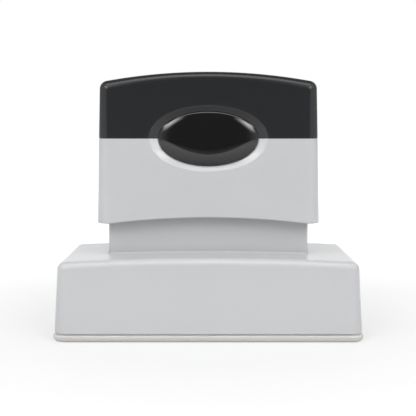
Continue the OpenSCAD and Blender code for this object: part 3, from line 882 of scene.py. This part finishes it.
@dataclass
class Grip:
    """The handle's grey shell with its deck, collar and guides.

    The guides stand at the right or the back, and are mirrored to the other sides.
    """

    seat: BadgeSeat
    plan: Plan = Plan(70.8, 24.0, 3.85)
    foot: float = 35.3
    arch_rise: float = 1.95
    arch_span: float = 62.0
    soft: float = 0.45
    soft_steps: int = 4
    wall_rows: tuple[float, ...] = (0.25, 0.5, 0.75, 1.0)
    pocket: float = 1.9
    pocket_back: float = 0.5
    collar: Plan = Plan(65.365, 18.565, 2.95)
    collar_in: Plan = Plan(62.565, 15.765, 1.0)
    collar_h: float = 4.5
    collar_soft: float = 0.35
    stem: Plan = Plan(35.3, 11.7, 0.3)
    deck: float = 60.2
    cavity: Plan = Plan(66.8, 20.0, 1.8)
    cavity_lifts: Pair = (10.0, 0.3)
    cavity_break: float = 0.25
    fillet: float = 0.4
    long_guide: Box = Box((20.4, 7.8, 38.25), (21.8, 10.2, 60.6))
    end_guide: Box = Box((32.3, -0.7, 38.25), (33.6, 0.7, 60.6))

    def arch(self, plan: Plan) -> np.ndarray:
        """Gives the height of the shell's arched lower edge at each point of a plan.

        Args:
            plan: the outline that the edge follows.

        Returns:
            One height for each point.
        """
        half = self.arch_span / 2
        radius = (half ** 2 + self.arch_rise ** 2) / (2 * self.arch_rise)
        x = np.clip(plan.outline()[0][:, 0], -half, half)
        return self.foot + self.arch_rise - (radius - np.sqrt(radius ** 2 - np.square(x)))

    def inset(self, z: float | np.ndarray) -> float | np.ndarray:
        """Gives how far the draft has drawn the wall in at a height."""
        return (z - self.foot) * slope(HANDLE_DRAFT)

    def wall(self, skin: Skin) -> list[Row]:
        """Builds the outer wall over its rounded lower edge, and leaves its front open.

        Args:
            skin: the mesh that takes the faces.

        Returns:
            The wall's rows, lowest first.
        """
        low = self.arch(self.plan)
        rows = [skin.row(self.plan.level(low + lift, inset + self.inset(low + lift)))
                for inset, lift in arc(self.soft, self.soft_steps)]
        for a, b in pairwise(rows):
            skin.bridge(a, b)
        for t in self.wall_rows:
            z = (low + self.soft) * (1 - t) + (SEAM - self.seat.bevel) * t
            rows.append(skin.row(self.plan.level(z, self.inset(z))))
            skin.bridge(rows[-2], rows[-1], skip=self.plan.along)
        return rows

    def hollow(self) -> list[np.ndarray]:
        """Works out the collar and the hollow under the deck.

        Returns:
            Rows of points, from the collar's top down to the lower edge.
        """
        tall = SEAM + self.collar_h
        rows = self.collar.round_top(tall, self.collar_soft) + self.collar_in.open_top(tall)
        rows += [self.collar_in.level(SEAM + BREAK), self.collar_in.level(SEAM, BREAK)]
        rows += self.stem.open_top(SEAM) + [self.stem.level(self.deck)]
        drawn = self.inset(self.deck)
        rows += [self.cavity.level(self.deck, drawn + self.fillet),
                 self.cavity.level(self.deck - self.fillet, drawn)]
        edge = self.arch(self.cavity)
        rows += [self.cavity.level(edge + lift, lift * slope(HANDLE_DRAFT)) for lift in self.cavity_lifts]
        return rows + [self.cavity.level(edge, -self.cavity_break)]

    def shell(self) -> None:
        """Builds the shell round the badge's pocket."""
        skin = Skin()
        n, first = self.plan.along, self.soft_steps
        rows = self.wall(skin)
        border = [r[0] for r in rows[:first:-1]] + rows[first][:n + 1] + [r[n] for r in rows[first + 1:]]
        path = self.seat.surround(skin, border, -1, self.pocket)
        level = self.plan.level(SEAM, self.inset(SEAM) + self.seat.set_back)
        front, last = self.seat.seam_edge(skin, path, level, n)
        skin.bridge(rows[-1], last, skip=n)
        foot = skin.row(self.collar.level(SEAM))
        skin.bridge(last, foot, skip=n)
        skin.stitch(front, foot[:n + 1])
        inside = skin.loft(self.hollow())
        skin.bridge(foot, inside[0])
        skin.bridge(inside[-1], rows[0])
        skin.copies(self.long_guide, X, Y)
        skin.copies(self.end_guide, X)
        # The wall behind the pocket, which reaches a little way up into the deck
        self.seat.plate(skin, margin=1.2, low=-3.1, high=-1.95, cut=self.deck + self.pocket_back - SEAM)
        skin.piece("grip_shell", "handle", GREY_ABS, "grey_abs", "handle_shell")

    def build(self) -> None:
        """Builds the shell and dresses the plunger."""
        self.shell()
        dress("plunger", STEM_ABS)


@dataclass
class DieBlock:
    """The inked block that prints: frame, foam die, felt pad, wicks, seals and holder."""

    block: Plan = Plan(85.44, 39.64, 3.0)
    socket: Plan = Plan(82.44, 36.64, 1.5)
    window: Plan = Plan(75.54, 29.74, 0.6)
    window_break: float = 0.3
    frame_foot: float = 8.9
    foot_soft: float = 0.5
    top_soft: float = 0.3
    lip: float = 10.1
    foam: Plan = Plan(78.84, 33.04, 0.8)
    # Height over the lip and inset of the foam's lower edge
    foam_step: tuple[Pair, ...] = ((0.15, 0.3), (0.4, 0.0))
    foam_soft: float = 0.4
    foam_top: float = 13.7
    print_face: Plan = Plan(75.24, 29.44, 0.8)
    face: float = 7.7
    face_soft: float = 0.5
    pad_soft: float = 0.5
    pad_top: float = 17.6
    boss: float = 21.4
    well_x: float = 8.375
    wick_r: float = 1.95
    wick_h: float = 5.0
    # How much narrower the wick is, and how far over its foot or under its top
    wick_foot: tuple[Pair, ...] = ((0.25, 0.0), (0.0, 0.3))
    wick_tip: tuple[Pair, ...] = ((0.0, 0.6), (0.2, 0.15), (0.75, 0.0))
    seal_r: float = 4.05
    seal_wire: float = 0.6
    seal_drop: float = 0.65
    # Points round the ring's section and round the ring
    seal_points: tuple[int, int] = (16, 48)

    def clip_frame(self) -> None:
        """Builds the frame that clips the foam in."""
        skin = Skin()
        rows = self.block.round_foot(self.frame_foot, self.foot_soft)
        rows += self.block.round_top(self.pad_top, self.top_soft, steps=2)
        rows += self.socket.open_top(self.pad_top) + [self.socket.level(self.lip)]
        rows += [self.window.level(self.lip)] + self.window.open_foot(self.frame_foot, self.window_break)
        skin.loft(rows, endless=True)
        skin.piece("clip_frame", "handle", DIE_ABS, "die_abs", "die_frame")

    def foam_face(self) -> None:
        """Builds the foam with its stepped edge and softly rounded printing face."""
        skin = Skin()
        rows = self.print_face.round_foot(self.face, self.face_soft, steps=4)
        rows.append(self.print_face.level(self.lip))
        rows += [self.foam.level(self.lip + lift, inset) for lift, inset in self.foam_step]
        rows += self.foam.round_top(self.foam_top, self.foam_soft)
        skin.solid(rows, self.print_face, self.foam)
        skin.piece("foam_printing_die", "handle", MICRO_FOAM, "die_foam", "foam_die")

    def felt(self) -> None:
        """Builds the felt pad and the two wicks."""
        skin = Skin()
        rows = self.foam.round_foot(self.foam_top, self.pad_soft, steps=4)
        rows += self.foam.round_top(self.pad_top, self.pad_soft, steps=4)
        skin.solid(rows, self.foam, self.foam)
        skin.piece("felt_pad", "handle", INKED_FELT, "ink_felt", "ink_pad")
        wick = [(self.wick_r - less, self.pad_top + over) for less, over in self.wick_foot]
        wick += [(self.wick_r - less, self.boss + self.wick_h - under) for less, under in self.wick_tip]
        for side, hand in SIDES:
            skin = Skin()
            skin.turned(wick, side * self.well_x)
            skin.piece(f"felt_wick_{hand}", "handle", INKED_FELT, "ink_felt", f"ink_wick_{hand}")

    def seals(self) -> None:
        """Builds the rubber rings round the spouts."""
        section, around = self.seal_points
        z = self.boss - self.seal_drop
        ring = [(self.seal_r + self.seal_wire * math.cos(a), z + self.seal_wire * math.sin(a))
                for a in circle(section)]
        for side, hand in SIDES:
            skin = Skin()
            skin.turned(ring, side * self.well_x, around, endless=True)
            skin.piece(f"rubber_ring_{hand}", "handle", SEAL_RUBBER, "seal_rubber", f"port_seal_{hand}")

    def build(self) -> None:
        """Builds the block and dresses the holder."""
        self.clip_frame()
        self.foam_face()
        self.felt()
        self.seals()
        dress("die_holder", DIE_ABS)


@dataclass
class InkCap:
    """The black cap that lifts off, with the bare oval badge on its tongue."""

    seat: BadgeSeat
    block: CrownedBlock = CrownedBlock(Plan(69.485, 22.685, 3.2), SEAM, 21.0, HANDLE_DRAFT, crown=184.0,
                                       edge=2.65, end=2.6, swell=0.2)
    wall_rows: tuple[float, ...] = (0.0, 0.35, 0.7, 1.0)
    cavity: CrownedBlock = CrownedBlock(Plan(65.885, 19.085, 1.8), SEAM, 19.2, HANDLE_DRAFT, crown=182.2,
                                        edge=0.9, end=0.9)
    cavity_lift: float = 0.25
    label_margin: float = -0.3
    lens_foot: float = -0.8
    lens_edge: float = 0.2
    # Share of the badge's size and depth under the lens's edge, for the rows that round that edge
    lens_lip: tuple[Pair, ...] = ((1.0, 0.12), (0.9985, 0.04))
    lens_span: float = 0.995
    lens_dome: float = 1.1
    lens_power: float = 4.3
    lens_rings: int = 32
    lens_points: int = 128

    def shell(self) -> None:
        """Builds the cap round the badge's seat, with its hollow and its tongue."""
        skin = Skin()
        plan, inner, n = self.block.plan, self.cavity.plan, self.block.plan.along
        low = SEAM + self.seat.bevel
        start, rounding = plan.level(low, self.block.inset(low)), self.block.rounding(steps=12)
        rows = [skin.row(start + (rounding[0] - start) * t) for t in self.wall_rows]
        for a, b in pairwise(rows):
            skin.bridge(a, b, skip=n)
        over = rows[-1:] + [skin.row(level) for level in rounding[1:]]
        for a, b in pairwise(over):
            skin.bridge(a, b)
        skin.lid(over[-1], plan, self.block.top)
        border = [r[0] for r in rows[:-1]] + rows[-1][:n + 1] + [r[n] for r in rows[-2::-1]]
        path = self.seat.surround(skin, border, 1, self.seat.deep)
        front, last = self.seat.seam_edge(skin, path, plan.level(SEAM, self.seat.set_back), n)
        skin.bridge(last, rows[0], skip=n)
        mouth = [inner.level(SEAM, -BREAK), inner.level(SEAM + self.cavity_lift)]
        inside = skin.loft(mouth + self.cavity.rounding(steps=5))
        skin.lid(inside[-1], inner, self.cavity.top)
        skin.bridge(last, inside[0], skip=n)
        skin.stitch(front, inside[0][:n + 1])
        # The tongue behind the badge
        self.seat.plate(skin, margin=-0.02, low=-1.6, high=-1.02)
        skin.piece("ink_cap", "cap", BLACK_ABS, "black_abs", "handle_cap")

    def badge(self) -> None:
        """Builds the bare label and the resin dome over it."""
        skin = Skin()
        self.seat.plate(skin, self.label_margin, -self.seat.deep, self.lens_foot)
        skin.piece("badge_backing", "cap", LABEL_VINYL, "badge_vinyl", "badge_label")
        skin = Skin()
        profile = [(1.0, 0.0)] + [(share, self.lens_edge - under) for share, under in self.lens_lip]
        for i in range(self.lens_rings, 0, -1):
            t = i / self.lens_rings
            profile.append((t * self.lens_span, self.lens_edge + self.lens_dome * (1 - t ** self.lens_power)))
        angles = circle(self.lens_points)
        skin.ends(skin.loft([[self.seat.oval(a, share, self.lens_foot + out) for a in angles]
                             for share, out in profile]))
        skin.piece("badge_dome", "cap", DOMED_RESIN, "badge_resin", "badge_lens")

    def build(self) -> None:
        """Builds the cap and its badge."""
        self.shell()
        self.badge()


@dataclass
class Cover:
    """The dust cover: a tray with a rounded rim and a beaded ring that fits inside the skirt."""

    rim: Plan = Plan(96.0, 50.2, 3.6)
    rim_round: float = 1.6
    rim_soft: float = 0.4
    rim_h: float = 2.1
    seat: Plan = Plan(94.2, 48.4, 2.7)
    seat_break: float = 0.1
    seat_z: float = 2.5
    ring: Plan = Plan(90.733, 44.933, 1.2)
    ring_in: Plan = Plan(88.333, 42.533, 1.27)
    ring_soft: float = 0.35
    ring_break: float = 0.25
    ring_z: float = 6.0
    floor: float = 1.1
    fillet: float = 0.3
    bead_long: float = 14.0
    bead_r: float = 0.6
    bead_proud: float = 0.15
    bead_z: float = 4.25
    bead_round: float = 0.95

    def build(self) -> None:
        """Builds the cover from its underside round the rim and into the tray."""
        skin = Skin()
        rows = self.rim.round_foot(0.0, self.rim_round, steps=6)
        rows += self.rim.round_top(self.rim_h, self.rim_soft, steps=4)
        rows += [self.seat.level(self.rim_h), self.seat.level(self.seat_z - self.seat_break),
                 self.seat.level(self.seat_z, self.seat_break), self.ring.level(self.seat_z)]
        rows += self.ring.round_top(self.ring_z, self.ring_soft)
        rows += self.ring_in.open_top(self.ring_z, self.ring_break)
        rows += [self.ring_in.level(self.floor + self.fillet), self.ring_in.level(self.floor, self.fillet)]
        skin.solid(rows, self.rim, self.ring_in)
        half, r, out = self.bead_long / 2, self.bead_r, self.ring.depth / 2 + self.bead_proud
        bead = Box((-half, out - 2 * r, self.bead_z - r), (half, out, self.bead_z + r), r * self.bead_round)
        skin.copies(bead, Y)
        skin.piece("tray_cover", "dust_cover", COVER_ABS, "cover_abs", "dust_cover")


@dataclass(frozen=True)
class Softbox:
    """A lamp with a wide soft front, brightest at one place and dimmer away from it.

    Lengths are in metres. The bright place and the reach are shares of the front.
    """

    name: str
    place: Point
    size: Pair
    watts: float
    aim: Point
    bright: Pair = (0.5, 0.5)
    reach: float = 1.0
    dim: float = 1.0
    mirrored: bool = True

    def twin(self, name: str, **changes: float | Pair) -> "Softbox":
        """Gives a lamp at the same place on the other side, with some changes."""
        x, y, z = self.place
        return replace(self, name=name, place=(-x, y, z), **changes)

    def hang(self) -> None:
        """Puts the lamp in the scene, turned to what it lights."""
        lamp = bpy.data.lights.new(self.name, "AREA")
        lamp.shape = "RECTANGLE"
        lamp.size, lamp.size_y = self.size
        lamp.energy = self.watts
        tree = bare_tree(lamp)
        front = add(tree, "ShaderNodeNewGeometry").outputs["Parametric"]
        away = add(tree, "ShaderNodeVectorMath", {"operation": "DISTANCE", 1: (*self.bright, 0.0)},
                   {0: front})
        fade = add(tree, "ShaderNodeMapRange",
                   {"interpolation_type": "SMOOTHSTEP", "From Max": self.reach, "To Min": 1.0,
                    "To Max": self.dim}, {"Value": away.outputs["Value"]})
        glow = add(tree, "ShaderNodeEmission", links={"Strength": fade.outputs["Result"]})
        add(tree, "ShaderNodeOutputLight", links={"Surface": glow.outputs["Emission"]})
        made = put(self.name, lamp)
        made.location = self.place
        made.visible_glossy = self.mirrored
        made.rotation_euler = (Vector(self.aim) - Vector(self.place)).to_track_quat("-Z", "Y").to_euler()


TOP_BOX = Softbox("top_box", (0.0, -0.24, 0.73), (0.7, 0.4), watts=2.65, aim=(0.0, -0.02, 0.03),
                  bright=(0.5, 0.6), reach=1.2, dim=0.2)
LEFT_BOX = Softbox("left_box", (-0.36, -0.624, 0.51), (0.34, 0.62), watts=5.45, aim=(0.0, 0.0, 0.06),
                   bright=(0.5, 0.55), reach=0.5, dim=0.0)
LEFT_WING = Softbox("left_wing", (-0.528, -0.4125, 0.584), (0.13, 0.13), watts=0.52, aim=(0.0, 0.0, 0.06))
BACK_BOX = Softbox("back_box", (0.0, 0.75, 0.3), (0.9, 0.4), watts=2.2, aim=(0.0, 0.0, 0.05), dim=0.3,
                   mirrored=False)


@dataclass
class Studio:
    """The pale floor, the soft light and the camera of the photograph.

    Lengths are in metres. Each span says where a change begins and where it ends.
    """

    # Light of the room and of its side walls, and the share of the walls' light that is left at the back
    room: float = 0.15
    walls: float = 0.7
    far_walls: float = 0.4
    # Parts of a direction: towards the back for the first and the third, sideways for the second
    far_span: Pair = (-0.2, 0.6)
    wall_span: Pair = (0.25, 0.65)
    behind_span: Pair = (0.75, 0.95)
    floor_size: float = 3.0
    floor_gap: float = 0.00005
    # The floor's colour round the stamp, far in front of it, and as it is seen with its own glow
    near_floor: str = "E0E0E0"
    far_floor: str = "9C9C9C"
    far_floor_slant: float = 2.0
    far_floor_span: Pair = (-0.27, -0.33)
    seen_floor: str = "999999"
    seen_span: Pair = (0.072, 0.09)
    glow: float = 0.6
    glow_span: Pair = (0.05, 0.34)
    lens: float = 85.0
    sensor: float = 36.0
    near_clip: float = 0.01
    eye: Point = (-0.00011, -0.32104, 0.06837)
    tilt: float = 84.82
    boxes: tuple[Softbox, ...] = (
        TOP_BOX, LEFT_BOX, LEFT_BOX.twin("right_box", watts=5.3, bright=(0.5, 0.46)),
        LEFT_WING, LEFT_WING.twin("right_wing"), BACK_BOX)

    def _rays(self, tree: NodeTree) -> tuple[NodeSocket, NodeSocket]:
        """Tells apart the rays that see the backdrop.

        Args:
            tree: the tree that takes the nodes.

        Returns:
            1 for a ray from the camera, and 1 for a ray off a gloss or through something clear.
        """
        rays = add(tree, "ShaderNodeLightPath").outputs
        mirror = add(tree, "ShaderNodeMath", {"operation": "MAXIMUM"},
                     {0: rays["Is Glossy Ray"], 1: rays["Is Transmission Ray"]}).outputs[0]
        return rays["Is Camera Ray"], mirror

    def world(self) -> None:
        """Lights the room with pale walls at both sides, and shows white behind the stamp."""
        made = bpy.data.worlds.new("studio")
        bpy.context.scene.world = made
        tree = bare_tree(made)
        way = add(tree, "ShaderNodeTexCoord").outputs["Generated"]
        parts = add(tree, "ShaderNodeSeparateXYZ", links={"Vector": way}).outputs
        wide = add(tree, "ShaderNodeMath", {"operation": "ABSOLUTE"}, {0: parts["X"]}).outputs[0]
        fall = add(tree, "ShaderNodeMapRange",
                   {"From Min": self.far_span[0], "From Max": self.far_span[1],
                    "To Min": self.room + self.walls, "To Max": self.room + self.far_walls * self.walls},
                   {"Value": parts["Y"]}).outputs["Result"]
        wall = add(tree, "ShaderNodeMapRange",
                   {"interpolation_type": "SMOOTHSTEP", "From Min": self.wall_span[0],
                    "From Max": self.wall_span[1], "To Min": self.room},
                   {"Value": wide, "To Max": fall}).outputs["Result"]
        behind = add(tree, "ShaderNodeMapRange",
                     {"From Min": self.behind_span[0], "From Max": self.behind_span[1]},
                     {"Value": parts["Y"]}).outputs["Result"]
        camera, mirror = self._rays(tree)
        mirrored = add(tree, "ShaderNodeMath", {"operation": "MULTIPLY"}, {0: mirror, 1: behind}).outputs[0]
        seen = add(tree, "ShaderNodeMath", {"operation": "MAXIMUM"}, {0: camera, 1: mirrored}).outputs[0]
        level = add(tree, "ShaderNodeMapRange", {"To Max": 1.0}, {"Value": seen, "To Min": wall})
        light = add(tree, "ShaderNodeBackground", {"Color": linear("FFFFFF")},
                    {"Strength": level.outputs["Result"]})
        add(tree, "ShaderNodeOutputWorld", links={"Surface": light.outputs["Background"]})

    def paper(self) -> Material:
        """Makes the floor's matte paper, which darkens far in front and glows white away from the stamp.

        Returns:
            The new material.
        """
        made = bpy.data.materials.new("paper_backdrop_matte")
        tree = bare_tree(made)
        place = add(tree, "ShaderNodeTexCoord").outputs["Object"]
        away = add(tree, "ShaderNodeVectorMath", {"operation": "LENGTH"}, {0: place}).outputs["Value"]
        parts = add(tree, "ShaderNodeSeparateXYZ", links={"Vector": place}).outputs
        wide = add(tree, "ShaderNodeMath", {"operation": "ABSOLUTE"}, {0: parts["X"]}).outputs[0]
        ahead = add(tree, "ShaderNodeMath", {"operation": "MULTIPLY_ADD", 1: self.far_floor_slant},
                    {0: wide, 2: parts["Y"]}).outputs[0]
        far = add(tree, "ShaderNodeMapRange",
                  {"From Min": self.far_floor_span[0], "From Max": self.far_floor_span[1]},
                  {"Value": ahead}).outputs["Result"]
        sheet = add(tree, "ShaderNodeMix",
                    {"data_type": "RGBA", MIX_FROM: linear(self.near_floor), MIX_TO: linear(self.far_floor)},
                    {0: far}).outputs[MIXED]
        camera, mirror = self._rays(tree)
        clear = add(tree, "ShaderNodeMapRange",
                    {"From Min": self.seen_span[0], "From Max": self.seen_span[1]},
                    {"Value": away}).outputs["Result"]
        open_floor = add(tree, "ShaderNodeMath", {"operation": "MULTIPLY"}, {0: mirror, 1: clear}).outputs[0]
        mirrored = add(tree, "ShaderNodeMapRange", {"To Max": 0.0},
                       {"Value": far, "To Min": open_floor}).outputs["Result"]
        seen = add(tree, "ShaderNodeMath", {"operation": "MAXIMUM"}, {0: camera, 1: mirrored}).outputs[0]
        colour = add(tree, "ShaderNodeMix", {"data_type": "RGBA", MIX_TO: linear(self.seen_floor)},
                     {0: seen, MIX_FROM: sheet}).outputs[MIXED]
        matte = add(tree, "ShaderNodeBsdfDiffuse", links={"Color": colour}).outputs["BSDF"]
        fade = add(tree, "ShaderNodeMapRange",
                   {"From Min": self.glow_span[0], "From Max": self.glow_span[1], "To Min": self.glow,
                    "To Max": 1.0}, {"Value": away}).outputs["Result"]
        glow = add(tree, "ShaderNodeMath", {"operation": "MULTIPLY"}, {0: fade, 1: seen}).outputs[0]
        white = add(tree, "ShaderNodeEmission", links={"Strength": glow}).outputs["Emission"]
        both = add(tree, "ShaderNodeAddShader", links={0: matte, 1: white}).outputs["Shader"]
        add(tree, "ShaderNodeOutputMaterial", links={"Surface": both})
        return made

    def floor(self) -> None:
        """Lays a pale floor that fades to white and keeps the stamp's shadow."""
        mesh = bmesh.new()
        bmesh.ops.create_grid(mesh, x_segments=2, y_segments=2, size=self.floor_size)
        data = bpy.data.meshes.new("floor")
        mesh.to_mesh(data)
        mesh.free()
        made = put("floor", data)
        made.location.z = -self.floor_gap
        data.materials.append(self.paper())

    def camera(self) -> None:
        """Sets the camera where the photograph was taken from."""
        data = bpy.data.cameras.new("camera")
        data.lens, data.sensor_width = self.lens, self.sensor
        data.clip_start = self.near_clip
        made = put("camera", data)
        made.location = self.eye
        made.rotation_euler = (math.radians(self.tilt), 0.0, 0.0)
        bpy.context.scene.camera = made

    def build(self) -> None:
        """Builds the studio."""
        bpy.context.scene.view_settings.view_transform = "Standard"
        self.camera()
        self.world()
        self.floor()
        for box in self.boxes:
            box.hang()


def main() -> None:
    """Builds the stamp and its studio."""
    logging.basicConfig(level=logging.INFO, format="%(message)s")
    Studio().build()
    seat = BadgeSeat()
    for assembly in (Base(), Grip(seat), DieBlock(), InkCap(seat), Cover()):
        assembly.build()


if __name__ == "__main__":
    main()
